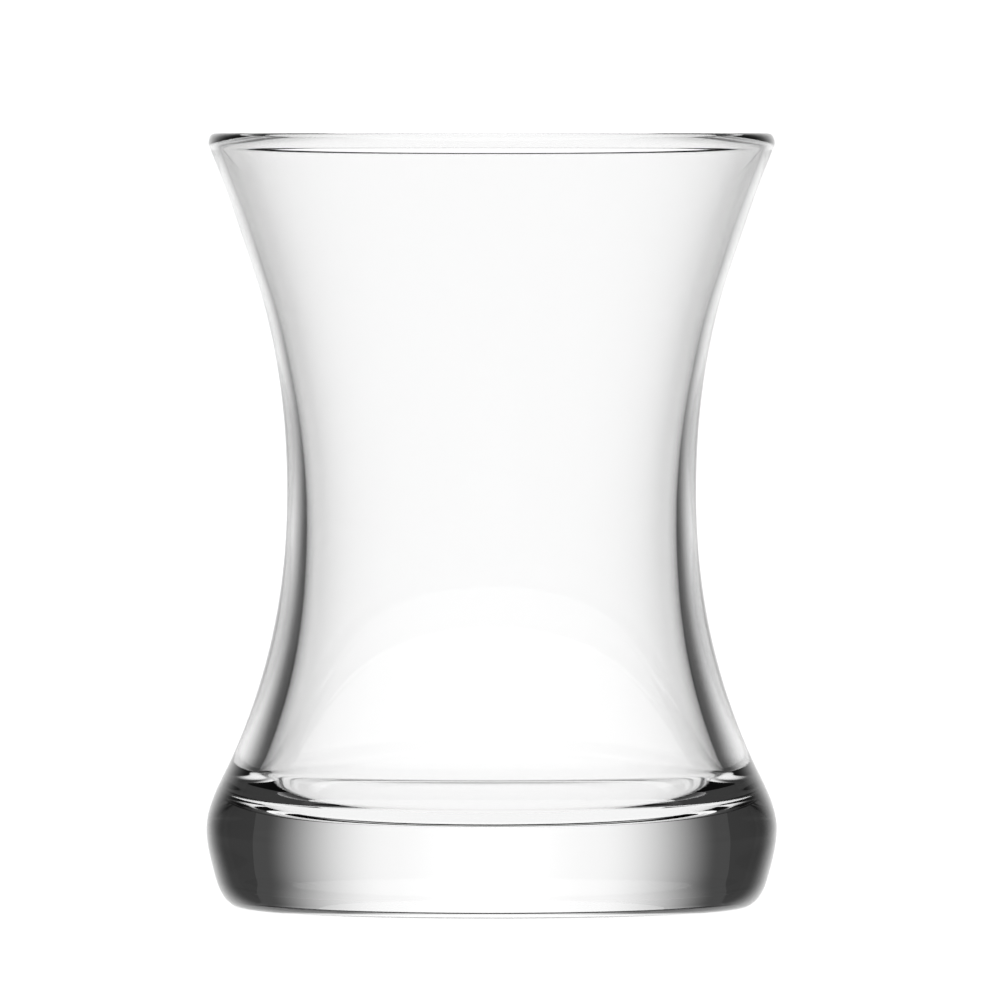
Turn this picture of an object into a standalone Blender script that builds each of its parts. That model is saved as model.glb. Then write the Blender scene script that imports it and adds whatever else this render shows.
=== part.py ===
"""A clear tea glass with a waist: one turned solid of glass, thick in the base, empty inside.

The glass stands on its foot at z = 0, and its axis is Z. Every shape here is the glass's section,
drawn once in the XZ plane and turned a full circle.
"""

import math

import bpy

MM = 0.001

# Driving dimensions, in millimetres.
HEIGHT = 88.0
WIDEST_RADIUS = 32.45
WAIST_RADIUS = 23.27
WAIST_HEIGHT = 47.0
FLOOR_HEIGHT = 9.5

# The outer wall from the foot up to the rim: height, radius, and flare (radius gained for each
# millimetre of height).
OUTER_WALL = (
    (3.5, 31.45, 0.272),
    (9.0, WIDEST_RADIUS, 0.0),
    (17.6, 29.3, -0.44),
    (WAIST_HEIGHT, WAIST_RADIUS, 0.0),
    (72.8, 27.2, 0.344),
    (86.0, 31.93, 0.418),
)

# The inner wall from just above the floor's corner up to the rim, in the same terms. The wall
# is 1.1 mm thick at the rim and 2.2 mm at the waist.
INNER_WALL = (
    (15.2, 26.35, -0.45),
    (42.0, 21.08, -0.02),
    (63.0, 23.3, 0.205),
    (87.3, 31.07, 0.34),
)

# The floor inside: flat in the middle, then a round corner out to its widest radius. A pull is the
# share of a bend's own length or height at which its curve is drawn straight on.
FLOOR_FLAT_RADIUS = 22.5
CORNER_RADIUS = 26.6
CORNER_HEIGHT = 13.6
CORNER_PULL = 0.65
SHOULDER_PULL = 0.4

# The rim: a melted bead, rounder on its outer side.
BEAD_INNER_RADIUS = 31.1
BEAD_TOP_RADIUS = 31.5
BEAD_OUTER_RADIUS = 32.2
BEAD_INNER_HEIGHT = 87.5
BEAD_OUTER_HEIGHT = 86.85
BEAD_LEAN = 0.3
BEAD_CROWN = 0.6
BEAD_RISE = 0.5

# The foot: a rounded outer corner, a flat ring that the glass stands on, and a shallow hollow.
RING_OUTER_RADIUS = 28.2
RING_INNER_RADIUS = 24.0
HOLLOW_DEPTH = 0.6
FOOT_DROP = 0.57
FOOT_PULL = 0.55

TURN_STEPS = 64
WALL_POINTS = 4
BEND_POINTS = 6
HOLLOW_POINTS = 3
MERGE_DISTANCE = 0.00001

GLASS_COLOUR = (0.93, 0.95, 0.95, 1.0)
GLASS_ROUGHNESS = 0.02
GLASS_IOR = 1.52


def wall(stations, points):
    """A smooth wall through its stations: a cubic between each two, with each one's flare."""
    line = []
    for (low, radius_low, flare_low), (high, radius_high, flare_high) in zip(stations, stations[1:]):
        rise = high - low
        for i in range(points):
            t = i / points
            s = 1 - t
            radius = (
                (1 + 2 * t) * s * s * radius_low
                + t * s * s * rise * flare_low
                + t * t * (3 - 2 * t) * radius_high
                - t * t * s * rise * flare_high
            )
            line.append((radius, low + rise * t))
    top_height, top_radius, _ = stations[-1]
    line.append((top_radius, top_height))
    return line


def bend(start, start_pull, end_pull, end, points=BEND_POINTS):
    """A Bezier curve from start to end, both included, drawn towards its two pulls."""
    line = []
    for i in range(points + 1):
        t = i / points
        s = 1 - t
        weights = (s * s * s, 3 * t * s * s, 3 * t * t * s, t * t * t)
        corners = (start, start_pull, end_pull, end)
        line.append(tuple(sum(w * c[k] for w, c in zip(weights, corners)) for k in (0, 1)))
    return line


def along(point, flare, rise):
    """The point reached from this one along a wall of this flare, that much higher."""
    return (point[0] + flare * rise, point[1] + rise)


def floor_line():
    """The floor inside, from its centre out to the widest radius and up to the inner wall."""
    flat_edge = (FLOOR_FLAT_RADIUS, FLOOR_HEIGHT)
    widest = (CORNER_RADIUS, CORNER_HEIGHT)
    wall_height, wall_radius, wall_flare = INNER_WALL[0]
    wall_start = (wall_radius, wall_height)
    reach = CORNER_PULL * (CORNER_RADIUS - FLOOR_FLAT_RADIUS)
    climb = CORNER_PULL * (CORNER_HEIGHT - FLOOR_HEIGHT)
    gap = SHOULDER_PULL * (wall_height - CORNER_HEIGHT)
    corner = bend(flat_edge, (flat_edge[0] + reach, FLOOR_HEIGHT), (widest[0], widest[1] - climb), widest)
    shoulder = bend(widest, (widest[0], widest[1] + gap), along(wall_start, wall_flare, -gap), wall_start, 2)
    return [(0.0, FLOOR_HEIGHT)] + corner + shoulder[1:-1]


def rim_line():
    """The bead of the rim, from the top of the inner wall to the top of the outer wall."""
    inner_height, inner_radius, inner_flare = INNER_WALL[-1]
    outer_height, outer_radius, outer_flare = OUTER_WALL[-1]
    inner_end = (inner_radius, inner_height)
    outer_end = (outer_radius, outer_height)
    inner_side = (BEAD_INNER_RADIUS, BEAD_INNER_HEIGHT)
    outer_side = (BEAD_OUTER_RADIUS, BEAD_OUTER_HEIGHT)
    top = (BEAD_TOP_RADIUS, HEIGHT)
    lean = BEAD_LEAN * (BEAD_INNER_HEIGHT - inner_height)
    tuck = BEAD_LEAN * (BEAD_OUTER_HEIGHT - outer_height)
    crown_inner = (top[0] - BEAD_CROWN * (BEAD_TOP_RADIUS - BEAD_INNER_RADIUS), HEIGHT)
    crown_outer = (top[0] + BEAD_CROWN * (BEAD_OUTER_RADIUS - BEAD_TOP_RADIUS), HEIGHT)
    above_inner = (inner_side[0], inner_side[1] + BEAD_RISE * (HEIGHT - BEAD_INNER_HEIGHT))
    above_outer = (outer_side[0], outer_side[1] + BEAD_RISE * (HEIGHT - BEAD_OUTER_HEIGHT))
    below_inner = (inner_side[0], inner_side[1] - 2 * lean)
    below_outer = (outer_side[0], outer_side[1] - tuck)
    up = bend(inner_end, along(inner_end, inner_flare, lean), below_inner, inner_side, 4)
    over = bend(inner_side, above_inner, crown_inner, top, 4)
    out = bend(top, crown_outer, above_outer, outer_side, 4)
    down = bend(outer_side, below_outer, along(outer_end, outer_flare, tuck), outer_end, 2)
    return up[1:] + over[1:] + out[1:] + down[1:-1]


def foot_line():
    """The foot, from the bottom of the outer wall round its corner, over the ring to the centre."""
    foot_height, foot_radius, foot_flare = OUTER_WALL[0]
    foot = (foot_radius, foot_height)
    ring = (RING_OUTER_RADIUS, 0.0)
    drop = FOOT_DROP * foot_height
    pull = FOOT_PULL * (foot_radius - RING_OUTER_RADIUS)
    corner = bend(foot, along(foot, foot_flare, -drop), (ring[0] + pull, 0.0), ring)
    hollow = []
    for i in range(HOLLOW_POINTS + 1):
        share = 1 - i / HOLLOW_POINTS
        hollow.append((RING_INNER_RADIUS * share, HOLLOW_DEPTH * (1 - share * share)))
    return corner[1:] + hollow


def glass_section():
    """The whole section: floor, inner wall, rim, outer wall and foot, as (radius, height) in mm."""
    inner = wall(INNER_WALL, WALL_POINTS)
    outer = wall(OUTER_WALL, WALL_POINTS)[::-1]
    return floor_line() + inner + rim_line() + outer + foot_line()


def glass_material():
    material = bpy.data.materials.new("clear_glass")
    material.use_nodes = True
    shader = material.node_tree.nodes["Principled BSDF"]
    shader.inputs["Base Color"].default_value = GLASS_COLOUR
    shader.inputs["Metallic"].default_value = 0.0
    shader.inputs["Roughness"].default_value = GLASS_ROUGHNESS
    shader.inputs["IOR"].default_value = GLASS_IOR
    shader.inputs["Transmission Weight"].default_value = 1.0
    return material


def turned(name, section, collection):
    """An object whose section, an open line from axis to axis, is turned a full circle about Z."""
    points = [(radius * MM, 0.0, height * MM) for radius, height in section]
    edges = [(i, i + 1) for i in range(len(points) - 1)]
    mesh = bpy.data.meshes.new(name)
    mesh.from_pydata(points, edges, [])
    obj = bpy.data.objects.new(name, mesh)
    collection.objects.link(obj)
    screw = obj.modifiers.new("turn", "SCREW")
    screw.axis = "Z"
    screw.angle = math.tau
    screw.steps = TURN_STEPS
    screw.render_steps = TURN_STEPS
    screw.use_merge_vertices = True
    screw.merge_threshold = MERGE_DISTANCE
    screw.use_smooth_shade = True
    return obj


def main():
    for obj in list(bpy.data.objects):
        bpy.data.objects.remove(obj, do_unlink=True)
    collection = bpy.data.collections.new("tea_glass")
    bpy.context.scene.collection.children.link(collection)
    glass = turned("glass", glass_section(), collection)
    glass.data.materials.append(glass_material())


main()
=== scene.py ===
"""A clear tea glass with a waist, standing on a lit white table in a small studio.

The glass is one surface of revolution: its section is worked out from named sizes and carried round
the upright axis. Lengths are in metres, +Z is up, and the glass stands on z = 0.
"""

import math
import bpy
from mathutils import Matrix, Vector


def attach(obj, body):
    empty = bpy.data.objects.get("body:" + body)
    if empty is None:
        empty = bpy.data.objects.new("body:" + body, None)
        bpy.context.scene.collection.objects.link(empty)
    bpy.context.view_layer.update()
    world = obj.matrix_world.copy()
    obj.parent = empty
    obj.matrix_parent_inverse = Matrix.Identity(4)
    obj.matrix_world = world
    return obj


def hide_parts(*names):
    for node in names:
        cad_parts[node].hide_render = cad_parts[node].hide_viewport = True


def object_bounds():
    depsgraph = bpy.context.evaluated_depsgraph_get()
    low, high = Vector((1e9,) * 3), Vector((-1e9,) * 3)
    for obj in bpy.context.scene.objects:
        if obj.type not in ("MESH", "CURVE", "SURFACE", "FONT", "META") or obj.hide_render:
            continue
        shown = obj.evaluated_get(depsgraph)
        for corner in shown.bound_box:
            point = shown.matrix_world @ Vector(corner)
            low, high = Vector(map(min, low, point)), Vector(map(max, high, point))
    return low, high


bl_info = {
    "name": "Tea Glass",
    "version": (1, 0, 0),
    "blender": (4, 5, 0),
    "location": "3D View > Sidebar > Tea Glass",
    "description": "Turns a waisted tea glass from its section and sets it on a lit table",
    "category": "Add Mesh",
}

import bpy
import numpy as np

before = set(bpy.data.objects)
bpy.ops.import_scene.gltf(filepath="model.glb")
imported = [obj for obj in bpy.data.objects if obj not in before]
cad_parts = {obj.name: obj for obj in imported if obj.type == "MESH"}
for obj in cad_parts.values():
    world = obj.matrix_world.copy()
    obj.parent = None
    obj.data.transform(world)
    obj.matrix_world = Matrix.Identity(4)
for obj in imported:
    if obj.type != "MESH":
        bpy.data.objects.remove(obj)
CAD_LOW, CAD_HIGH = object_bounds()

MM = 0.001

# The outer wall from the foot to the rim: height, radius, and flare (radius gained for each
# millimetre of height). The widest radius and the waist come from the sizes that a user can change.
FOOT_STATION = (3.5, 31.45, 0.272)
WIDEST_HEIGHT = 9.0
HIP_STATION = (17.6, 29.3, -0.44)
SHOULDER_STATION = (72.8, 27.2, 0.344)
RIM_STATION = (86.0, 31.93, 0.418)

# The inner wall in the same terms, 2.2 mm inside the outer one at the waist and 1.1 mm at the rim.
INNER_STATIONS = (
    (15.2, 26.35, -0.45),
    (42.0, 21.08, -0.02),
    (63.0, 23.3, 0.205),
    (87.3, 31.07, 0.34),
)

# The floor inside: flat in the middle, then a round corner out to its widest radius. A pull is the
# share of a bend's own length or height at which its curve is drawn straight on.
FLOOR_FLAT_RADIUS = 22.5
CORNER_RADIUS = 26.6
CORNER_HEIGHT = 13.6
CORNER_PULL = 0.65
SHOULDER_PULL = 0.4

# The rim: a melted bead, rounder on its outer side.
BEAD_INNER = (31.1, 87.5)
BEAD_TOP_RADIUS = 31.5
BEAD_OUTER = (32.2, 86.85)
BEAD_LEAN = 0.3
BEAD_CROWN = 0.6
BEAD_RISE = 0.5

# The foot: a rounded outer corner, the flat ring that the glass stands on, and a shallow hollow.
RING_OUTER_RADIUS = 28.2
RING_INNER_RADIUS = 24.0
HOLLOW_DEPTH = 0.6
FOOT_DROP = 0.57
FOOT_PULL = 0.55

# How many steps each line of the section is drawn in. A wall has that many between each two of its
# stations. A point less than SHORTEST_STEP, in millimetres, from the one before it is left out.
FLOOR_STEPS = 8
CORNER_STEPS = 24
SHOULDER_STEPS = 6
INNER_WALL_STEPS = 24
BEAD_STEPS = 12
TUCK_STEPS = 6
OUTER_WALL_STEPS = 20
FOOT_STEPS = 16
HOLLOW_STEPS = 12
SHORTEST_STEP = 1e-6


def linear(code):
    """The linear colour of an sRGB hex code such as #F4F6F5."""
    shares = [int(code[k:k + 2], 16) / 255 for k in (1, 3, 5)]
    return tuple(s / 12.92 if s <= 0.04045 else ((s + 0.055) / 1.055) ** 2.4 for s in shares)


class TeaGlassSizes(bpy.types.PropertyGroup):
    """The glass's own sizes."""

    height: bpy.props.FloatProperty(
        name="Height", description="From the table to the top of the rim",
        default=CAD_HIGH.z, min=0.07, max=0.11, unit="LENGTH", precision=4)
    widest_radius: bpy.props.FloatProperty(
        name="Widest radius", description="Of the thick base, 9 mm above the table",
        default=CAD_HIGH.x, min=0.028, max=0.038, unit="LENGTH", precision=5)
    waist_radius: bpy.props.FloatProperty(
        name="Waist radius", description="Of the outer wall where it is narrowest",
        default=23.27 * MM, min=0.022, max=0.028, unit="LENGTH", precision=5)
    waist_height: bpy.props.FloatProperty(
        name="Waist height", description="How high the narrowest place is",
        default=47.0 * MM, min=0.040, max=0.055, unit="LENGTH", precision=4)
    floor_height: bpy.props.FloatProperty(
        name="Floor height", description="How thick the base is under the drink",
        default=9.5 * MM, min=0.005, max=0.012, unit="LENGTH", precision=4)
    around: bpy.props.IntProperty(
        name="Steps around", description="How many flat strips make the full turn",
        default=256, min=64, max=360)


class TeaGlassFinish(bpy.types.PropertyGroup):
    """The colour and surface of the glass."""

    colour: bpy.props.FloatVectorProperty(
        name="Glass colour", description="What white light keeps on its way through one wall",
        default=linear("#FDFDFD"), min=0, max=1, subtype="COLOR")
    refraction: bpy.props.FloatProperty(
        name="Index of refraction", description="1.52 for soda-lime glass",
        default=1.52, min=1.3, max=1.8, precision=3)
    ripple_width: bpy.props.FloatProperty(
        name="Ripple width", description="From crest to crest of the faint waves that pressing leaves",
        default=14.0 * MM, min=0.004, max=0.04, unit="LENGTH", precision=4)
    ripple_depth: bpy.props.FloatProperty(
        name="Ripple depth", description="How deep those waves are",
        default=0.006 * MM, min=0, max=0.0001, unit="LENGTH", precision=6)


class TeaGlassStudio(bpy.types.PropertyGroup):
    """The table, the sweep, the floor and the room."""

    table_colour: bpy.props.FloatVectorProperty(
        name="Table colour", description="Of the opal sheet that the glass stands on",
        default=linear("#FFFFFF"), min=0, max=1, subtype="COLOR")
    table_radius: bpy.props.FloatProperty(
        name="Table radius", description="Of the round lit table, a little wider than the foot's ring",
        default=0.03, min=0.0285, max=1.0, unit="LENGTH", precision=4)
    sweep_colour: bpy.props.FloatVectorProperty(
        name="Sweep colour", description="Of the lit paper behind the glass",
        default=linear("#FFFFFF"), min=0, max=1, subtype="COLOR")
    room_colour: bpy.props.FloatVectorProperty(
        name="Room colour", description="Of the dim room beside and above the sweep",
        default=linear("#3C3C3C"), min=0, max=1, subtype="COLOR")
    table_strength: bpy.props.FloatProperty(
        name="Table strength", description="Of the lit table, where 1 is plain white",
        default=1.02, min=0, max=4)
    sweep_strength: bpy.props.FloatProperty(
        name="Sweep strength", description="Of the middle of the sweep, where 1 is plain white",
        default=1.03, min=0, max=4)
    hot_strength: bpy.props.FloatProperty(
        name="Hot spot", description="How much brighter the middle of the sweep is",
        default=0.15, min=0, max=4)
    top_strength: bpy.props.FloatProperty(
        name="Top of the sweep", description="What is left of its light along its top edge",
        default=0.06, min=0, max=1)
    floor_strength: bpy.props.FloatProperty(
        name="Floor strength", description="Of the pale floor below the table, where 1 is plain white",
        default=1.0, min=0, max=4)


def wall_line(stations, samples):
    """A wall as rows of (radius, height): between each two stations the radius is the cubic in the
    height that has the radius and the flare of both."""
    height, radius, flare = np.array(stations, float).T
    along = np.linspace(0, len(height) - 1, samples * (len(height) - 1) + 1)
    low = np.minimum(along.astype(int), len(height) - 2)
    t = along - low
    s = 1 - t
    rise = height[low + 1] - height[low]
    across = (
        (1 + 2 * t) * s * s * radius[low]
        + t * s * s * rise * flare[low]
        + t * t * (3 - 2 * t) * radius[low + 1]
        - t * t * s * rise * flare[low + 1]
    )
    return np.stack([across, height[low] + rise * t], 1)


def bend_line(start, start_pull, end_pull, end, samples):
    """A bend as rows of (radius, height): each corner times its cubic weight of t, added up."""
    t = np.linspace(0, 1, samples + 1)[:, None]
    s = 1 - t
    corners = [np.array(c, float) for c in (start, start_pull, end_pull, end)]
    weights = (s**3, 3 * t * s**2, 3 * t**2 * s, t**3)
    return sum(w * c for w, c in zip(weights, corners))


def glass_profile(sizes):
    """The glass's whole section as rows of (radius, height) in metres, in order: flat floor, round
    corner, inner wall, bead, outer wall, foot corner, ring and hollow, back to the axis."""
    top = sizes.height / MM
    floor = sizes.floor_height / MM
    outer_stations = (
        FOOT_STATION,
        (WIDEST_HEIGHT, sizes.widest_radius / MM, 0.0),
        HIP_STATION,
        (sizes.waist_height / MM, sizes.waist_radius / MM, 0.0),
        SHOULDER_STATION,
        RIM_STATION,
    )
    wall_height, wall_radius, wall_flare = INNER_STATIONS[0]
    gap = SHOULDER_PULL * (wall_height - CORNER_HEIGHT)
    corner = bend_line(
        (FLOOR_FLAT_RADIUS, floor),
        (FLOOR_FLAT_RADIUS + CORNER_PULL * (CORNER_RADIUS - FLOOR_FLAT_RADIUS), floor),
        (CORNER_RADIUS, CORNER_HEIGHT - CORNER_PULL * (CORNER_HEIGHT - floor)),
        (CORNER_RADIUS, CORNER_HEIGHT), CORNER_STEPS)
    shoulder = bend_line(
        (CORNER_RADIUS, CORNER_HEIGHT),
        (CORNER_RADIUS, CORNER_HEIGHT + gap),
        (wall_radius - wall_flare * gap, wall_height - gap),
        (wall_radius, wall_height), SHOULDER_STEPS)

    inner_height, inner_radius, inner_flare = INNER_STATIONS[-1]
    outer_height, outer_radius, outer_flare = RIM_STATION
    lean = BEAD_LEAN * (BEAD_INNER[1] - inner_height)
    tuck = BEAD_LEAN * (BEAD_OUTER[1] - outer_height)
    bead = [
        bend_line(
            (inner_radius, inner_height),
            (inner_radius + inner_flare * lean, inner_height + lean),
            (BEAD_INNER[0], BEAD_INNER[1] - 2 * lean), BEAD_INNER, BEAD_STEPS),
        bend_line(
            BEAD_INNER, (BEAD_INNER[0], BEAD_INNER[1] + BEAD_RISE * (top - BEAD_INNER[1])),
            (BEAD_TOP_RADIUS - BEAD_CROWN * (BEAD_TOP_RADIUS - BEAD_INNER[0]), top),
            (BEAD_TOP_RADIUS, top), BEAD_STEPS),
        bend_line(
            (BEAD_TOP_RADIUS, top),
            (BEAD_TOP_RADIUS + BEAD_CROWN * (BEAD_OUTER[0] - BEAD_TOP_RADIUS), top),
            (BEAD_OUTER[0], BEAD_OUTER[1] + BEAD_RISE * (top - BEAD_OUTER[1])),
            BEAD_OUTER, BEAD_STEPS),
        bend_line(
            BEAD_OUTER, (BEAD_OUTER[0], BEAD_OUTER[1] - tuck),
            (outer_radius + outer_flare * tuck, outer_height + tuck),
            (outer_radius, outer_height), TUCK_STEPS),
    ]

    foot_height, foot_radius, foot_flare = FOOT_STATION
    drop = FOOT_DROP * foot_height
    foot = bend_line(
        (foot_radius, foot_height), (foot_radius - foot_flare * drop, foot_height - drop),
        (RING_OUTER_RADIUS + FOOT_PULL * (foot_radius - RING_OUTER_RADIUS), 0.0),
        (RING_OUTER_RADIUS, 0.0), FOOT_STEPS)
    share = np.linspace(1, 0, HOLLOW_STEPS + 1)
    hollow = np.stack([RING_INNER_RADIUS * share, HOLLOW_DEPTH * (1 - share**2)], 1)

    across = np.linspace(0, FLOOR_FLAT_RADIUS, FLOOR_STEPS + 1)
    floor_flat = np.stack([across, np.full_like(across, floor)], 1)
    lines = [floor_flat, corner, shoulder, wall_line(INNER_STATIONS, INNER_WALL_STEPS), *bead,
             wall_line(outer_stations, OUTER_WALL_STEPS)[::-1], foot, hollow]
    joined = np.concatenate([lines[0]] + [line[1:] for line in lines[1:]])
    step = np.linalg.norm(np.diff(joined, axis=0), axis=1)
    return joined[np.concatenate([[True], step > SHORTEST_STEP])] * MM


def turned_surface(name, profile, around):
    """A closed surface of revolution. Row i of the section and step j of the turn give the point
    (r_i cos a_j, r_i sin a_j, z_i), with a_j = 2 pi j / around. The section starts and ends on the
    axis, where one point closes each fan, and it runs so that its left side is the glass."""
    angle = np.arange(around) * (math.tau / around)
    rings = profile[1:-1]
    grid = np.empty((len(rings), around, 3))
    grid[..., 0] = rings[:, :1] * np.cos(angle)
    grid[..., 1] = rings[:, :1] * np.sin(angle)
    grid[..., 2] = rings[:, 1:]
    poles = np.array([[0, 0, profile[0, 1]], [0, 0, profile[-1, 1]]])
    points = np.concatenate([poles, grid.reshape(-1, 3)])

    index = 2 + np.arange(len(rings) * around).reshape(len(rings), around)
    ahead = np.roll(index, -1, axis=1)
    strips = np.stack([index[:-1], ahead[:-1], ahead[1:], index[1:]], -1).reshape(-1, 4)[:, ::-1]
    first = np.stack([np.zeros(around, int), index[0], ahead[0]], -1)
    last = np.stack([np.ones(around, int), ahead[-1], index[-1]], -1)
    mesh = bpy.data.meshes.new(name)
    mesh.from_pydata(points.tolist(), [], strips.tolist() + first.tolist() + last.tolist())
    mesh.validate()
    mesh.shade_smooth()
    return mesh


def add_piece(name, mesh, material):
    """Puts a finished mesh into the scene at the origin, with its material."""
    piece = bpy.data.objects.new(name, mesh)
    bpy.context.scene.collection.objects.link(piece)
    mesh.materials.append(material)
    return piece


def add_node(tree, kind, inputs=None, **settings):
    """Adds a node with its settings; inputs pairs a socket with a value or with an output to link."""
    node = tree.nodes.new(kind)
    for name, value in settings.items():
        setattr(node, name, value)
    for socket, value in (inputs or {}).items():
        if isinstance(value, bpy.types.NodeSocket):
            tree.links.new(value, node.inputs[socket])
        else:
            node.inputs[socket].default_value = value
    return node


def new_material(name):
    """A material whose nodes are all still to be added."""
    material = bpy.data.materials.new(name)
    material.use_nodes = True
    material.node_tree.nodes.clear()
    return material


def soda_lime_glass(finish):
    """Clear soda-lime glass, pressed and then fire-polished. The flame melts the surface smooth, so
    the eye gets sharp refraction and no haze. What is left of the pressing is a wave too faint to
    see by itself, which makes the lines in the glass a little less than perfectly even."""
    material = new_material("soda_lime_glass_fire_polished")
    tree = material.node_tree
    place = add_node(tree, "ShaderNodeTexCoord")
    wave = add_node(
        tree, "ShaderNodeTexNoise",
        {"Vector": place.outputs["Object"], "Scale": 1 / finish.ripple_width, "Detail": 1.0,
         "Roughness": 0.4})
    bump = add_node(
        tree, "ShaderNodeBump",
        {"Height": wave.outputs["Fac"], "Strength": 1.0, "Distance": finish.ripple_depth})
    glass = add_node(
        tree, "ShaderNodeBsdfPrincipled",
        {"Base Color": (*finish.colour, 1), "Metallic": 0.0, "Roughness": 0.0,
         "IOR": finish.refraction, "Transmission Weight": 1.0, "Normal": bump.outputs["Normal"]})
    add_node(tree, "ShaderNodeOutputMaterial", {"Surface": glass.outputs["BSDF"]})
    return material


class TEAGLASS_OT_glass(bpy.types.Operator):
    """Turn the glass from its section"""

    bl_idname = "teaglass.glass"
    bl_label = "Turn the glass"

    def execute(self, context):
        sizes = context.scene.tea_glass_sizes
        mesh = turned_surface("turned_glass", glass_profile(sizes), sizes.around)
        glass = add_piece("turned_glass", mesh, soda_lime_glass(context.scene.tea_glass_finish))
        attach(glass, "root")
        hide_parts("glass")
        return {"FINISHED"}


# The camera looks almost level at the glass, from rim height and nearly two metres away, with a
# long lens. It aims a millimetre to the right of the axis and at the middle of the glass.
CAMERA_PLACE = (0.00095, -1.9315, 0.088)
AIM_HEIGHT = 0.0463
CAMERA_LENS = 612.0
SENSOR_WIDTH = 36.0

# The table lies just under the foot's ring, so that the two surfaces aren't one.
TABLE_SIDES = 128
TABLE_DROP = 0.2 * MM

# The set is part of a dome about the middle of the glass. Angles are in degrees: to each side of
# the view, and up or down from level.
DOME_DISTANCE = 3.0
MIDDLE_HEIGHT = 0.045
STEPS_ROUND = 96
STEPS_UP = 48
RIGHT_ANGLE = 90.0
HALF_TURN = 180.0
SWEEP_SIDE = 45.6
SWEEP_TOP = 56.0
SWEEP_FOOT = -50.0

# The sweep's glow is full to GLOW_FULL and down to GLOW_LEFT from GLOW_GONE on, with a hot spot in
# its middle, and it ends softly between TOP_FULL and TOP_GONE above.
GLOW_FULL = 14.0
GLOW_GONE = 41.0
GLOW_LEFT = 0.07
HOT_SIDE = 16.0
TOP_FULL = 35.0
TOP_GONE = 55.0


def dome_patch(name, sides, rises):
    """A patch of a dome round the glass. Its azimuth and elevation run evenly between the two sides
    and the two rises, in degrees, and the UV map keeps both as shares of a right angle."""
    azimuth, elevation = np.meshgrid(
        np.linspace(*sides, STEPS_ROUND + 1), np.linspace(*rises, STEPS_UP + 1), indexing="ij")
    share = np.stack([azimuth.ravel(), elevation.ravel()], 1) / RIGHT_ANGLE
    azimuth, elevation = np.radians(azimuth), np.radians(elevation)
    grid = DOME_DISTANCE * np.stack([
        np.sin(azimuth) * np.cos(elevation), np.cos(azimuth) * np.cos(elevation), np.sin(elevation)
    ], -1)
    grid[..., 2] += MIDDLE_HEIGHT
    index = np.arange(azimuth.size).reshape(azimuth.shape)
    faces = np.stack([index[:-1, :-1], index[:-1, 1:], index[1:, 1:], index[1:, :-1]], -1)
    mesh = bpy.data.meshes.new(name)
    mesh.from_pydata(grid.reshape(-1, 3).tolist(), [], faces.reshape(-1, 4).tolist())
    layer = mesh.uv_layers.new(name="share")
    corner = np.empty(len(mesh.loops), int)
    mesh.loops.foreach_get("vertex_index", corner)
    layer.data.foreach_set("uv", share[corner].ravel())
    mesh.shade_smooth()
    return mesh


def evenly_lit(name, colour, strength):
    """A surface whose glow is the same all over and from all sides."""
    material = new_material(name)
    tree = material.node_tree
    glow = add_node(tree, "ShaderNodeEmission", {"Color": (*colour, 1), "Strength": strength})
    add_node(tree, "ShaderNodeOutputMaterial", {"Surface": glow.outputs["Emission"]})
    return material


def lit_sweep(studio):
    """White paper lit from its middle: full near the middle, and fading softly to its sides and top."""
    material = new_material("sweep_paper_lit_from_the_middle")
    tree = material.node_tree
    place = add_node(tree, "ShaderNodeUVMap", uv_map="share")
    share = add_node(tree, "ShaderNodeSeparateXYZ", {"Vector": place.outputs["UV"]})
    side = add_node(tree, "ShaderNodeMath", {0: share.outputs["X"]}, operation="ABSOLUTE")
    broad = add_node(
        tree, "ShaderNodeMapRange",
        {"Value": side.outputs["Value"], "From Min": GLOW_FULL / RIGHT_ANGLE,
         "From Max": GLOW_GONE / RIGHT_ANGLE, "To Min": studio.sweep_strength, "To Max": GLOW_LEFT},
        interpolation_type="SMOOTHSTEP")
    hot = add_node(
        tree, "ShaderNodeMapRange",
        {"Value": side.outputs["Value"], "From Min": 0.0, "From Max": HOT_SIDE / RIGHT_ANGLE,
         "To Min": studio.hot_strength, "To Max": 0.0},
        interpolation_type="SMOOTHSTEP")
    both = add_node(
        tree, "ShaderNodeMath", {0: broad.outputs["Result"], 1: hot.outputs["Result"]}, operation="ADD")
    top = add_node(
        tree, "ShaderNodeMapRange",
        {"Value": share.outputs["Y"], "From Min": TOP_FULL / RIGHT_ANGLE,
         "From Max": TOP_GONE / RIGHT_ANGLE, "To Min": 1.0, "To Max": studio.top_strength},
        interpolation_type="SMOOTHSTEP")
    strength = add_node(
        tree, "ShaderNodeMath", {0: both.outputs["Value"], 1: top.outputs["Result"]},
        operation="MULTIPLY")
    glow = add_node(
        tree, "ShaderNodeEmission",
        {"Color": (*studio.sweep_colour, 1), "Strength": strength.outputs["Value"]})
    add_node(tree, "ShaderNodeOutputMaterial", {"Surface": glow.outputs["Emission"]})
    return material


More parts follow.
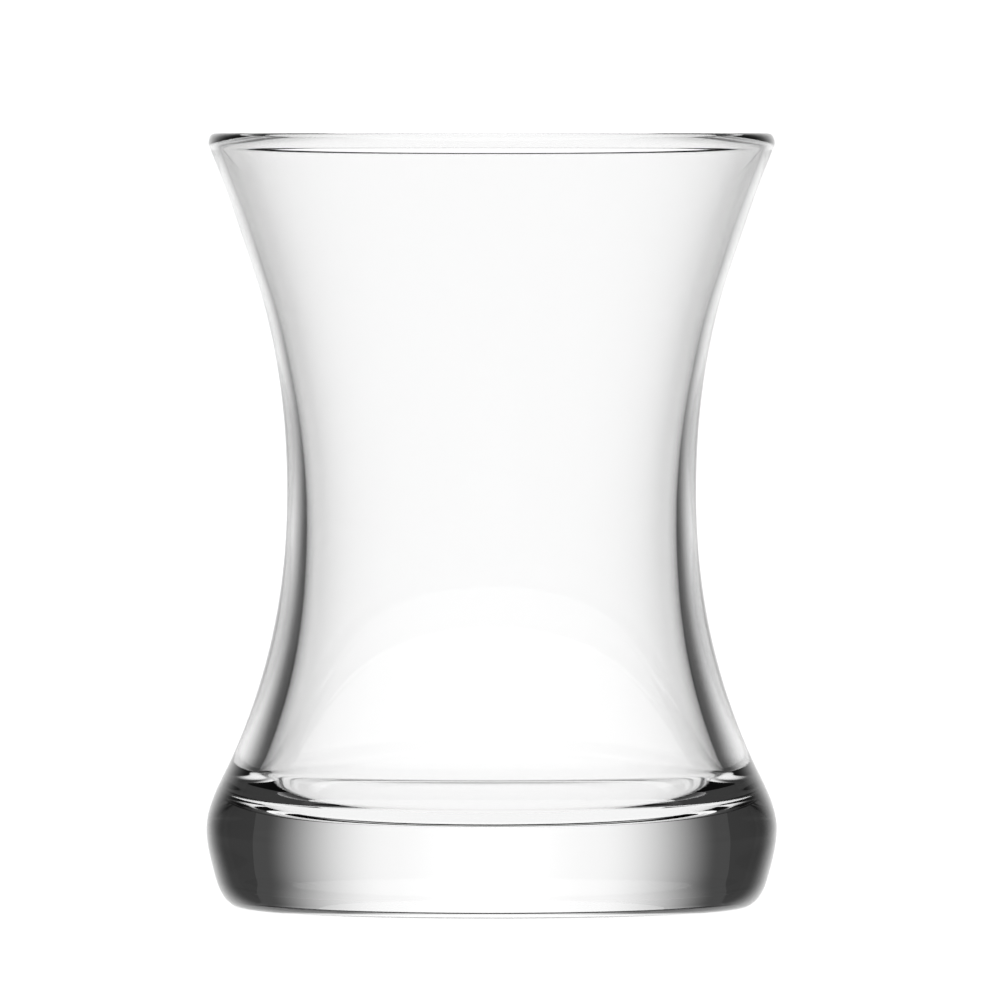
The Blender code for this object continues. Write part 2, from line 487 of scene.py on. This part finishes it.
class TEAGLASS_OT_studio(bpy.types.Operator):
    """Set up the camera, the table, and the sweep and floor that stay behind and below the glass"""

    bl_idname = "teaglass.studio"
    bl_label = "Set up the studio"

    def execute(self, context):
        scene = context.scene
        studio = scene.tea_glass_studio

        data = bpy.data.cameras.new("camera")
        data.sensor_width = SENSOR_WIDTH
        data.lens = CAMERA_LENS
        camera = bpy.data.objects.new("camera", data)
        scene.collection.objects.link(camera)
        camera.location = CAMERA_PLACE
        drop = CAMERA_PLACE[2] - AIM_HEIGHT
        camera.rotation_euler = (math.pi / 2 - math.atan2(drop, -CAMERA_PLACE[1]), 0.0, 0.0)
        scene.camera = camera

        turn = np.arange(TABLE_SIDES) * (math.tau / TABLE_SIDES)
        edge = np.stack([np.cos(turn), np.sin(turn), np.zeros(TABLE_SIDES)], 1) * studio.table_radius
        edge[:, 2] = -TABLE_DROP
        mesh = bpy.data.meshes.new("table")
        mesh.from_pydata(edge.tolist(), [], [list(range(TABLE_SIDES))])
        opal = evenly_lit("opal_acrylic_lit_from_below", studio.table_colour, studio.table_strength)
        add_piece("table", mesh, opal)

        sweep = dome_patch("sweep", (-SWEEP_SIDE, SWEEP_SIDE), (SWEEP_FOOT, SWEEP_TOP))
        floor = dome_patch("studio_floor", (-HALF_TURN, HALF_TURN), (-RIGHT_ANGLE, SWEEP_FOOT))
        pale = evenly_lit("pale_floor_paint", studio.sweep_colour, studio.floor_strength)
        fixtures = (
            add_piece("sweep", sweep, lit_sweep(studio)),
            add_piece("studio_floor", floor, pale),
        )
        # As in a product studio, where the glass is turned on its table and the set stays: the
        # sweep and the floor keep their places behind and below the glass in every view.
        context.view_layer.update()
        for fixture in fixtures:
            fixture.parent = camera
            fixture.matrix_parent_inverse = camera.matrix_world.inverted()

        world = bpy.data.worlds.new("dim_room")
        world.use_nodes = True
        tree = world.node_tree
        tree.nodes.clear()
        dim = add_node(tree, "ShaderNodeBackground", {"Color": (*studio.room_colour, 1)})
        add_node(tree, "ShaderNodeOutputWorld", {"Surface": dim.outputs["Background"]})
        scene.world = world
        scene.view_settings.view_transform = "Standard"
        return {"FINISHED"}


class TEAGLASS_PT_sidebar(bpy.types.Panel):
    """Lists the glass and its studio in the 3D view's sidebar"""

    bl_idname = "TEAGLASS_PT_sidebar"
    bl_label = "Tea Glass"
    bl_space_type = "VIEW_3D"
    bl_region_type = "UI"
    bl_category = "Tea Glass"

    def draw(self, context):
        groups = (
            (context.scene.tea_glass_sizes, TeaGlassSizes),
            (context.scene.tea_glass_finish, TeaGlassFinish),
            (context.scene.tea_glass_studio, TeaGlassStudio),
        )
        for group, kind in groups:
            column = self.layout.column(align=True)
            for name in kind.__annotations__:
                column.prop(group, name)
        for operator in OPERATORS:
            self.layout.operator(operator.bl_idname)


OPERATORS = (TEAGLASS_OT_glass, TEAGLASS_OT_studio)
CLASSES = (TeaGlassSizes, TeaGlassFinish, TeaGlassStudio, *OPERATORS, TEAGLASS_PT_sidebar)


def register():
    for kind in CLASSES:
        bpy.utils.register_class(kind)
    bpy.types.Scene.tea_glass_sizes = bpy.props.PointerProperty(type=TeaGlassSizes)
    bpy.types.Scene.tea_glass_finish = bpy.props.PointerProperty(type=TeaGlassFinish)
    bpy.types.Scene.tea_glass_studio = bpy.props.PointerProperty(type=TeaGlassStudio)


def unregister():
    del bpy.types.Scene.tea_glass_studio
    del bpy.types.Scene.tea_glass_finish
    del bpy.types.Scene.tea_glass_sizes
    for kind in reversed(CLASSES):
        bpy.utils.unregister_class(kind)


def main():
    register()
    bpy.ops.teaglass.glass()
    bpy.ops.teaglass.studio()


if __name__ == "__main__":
    main()
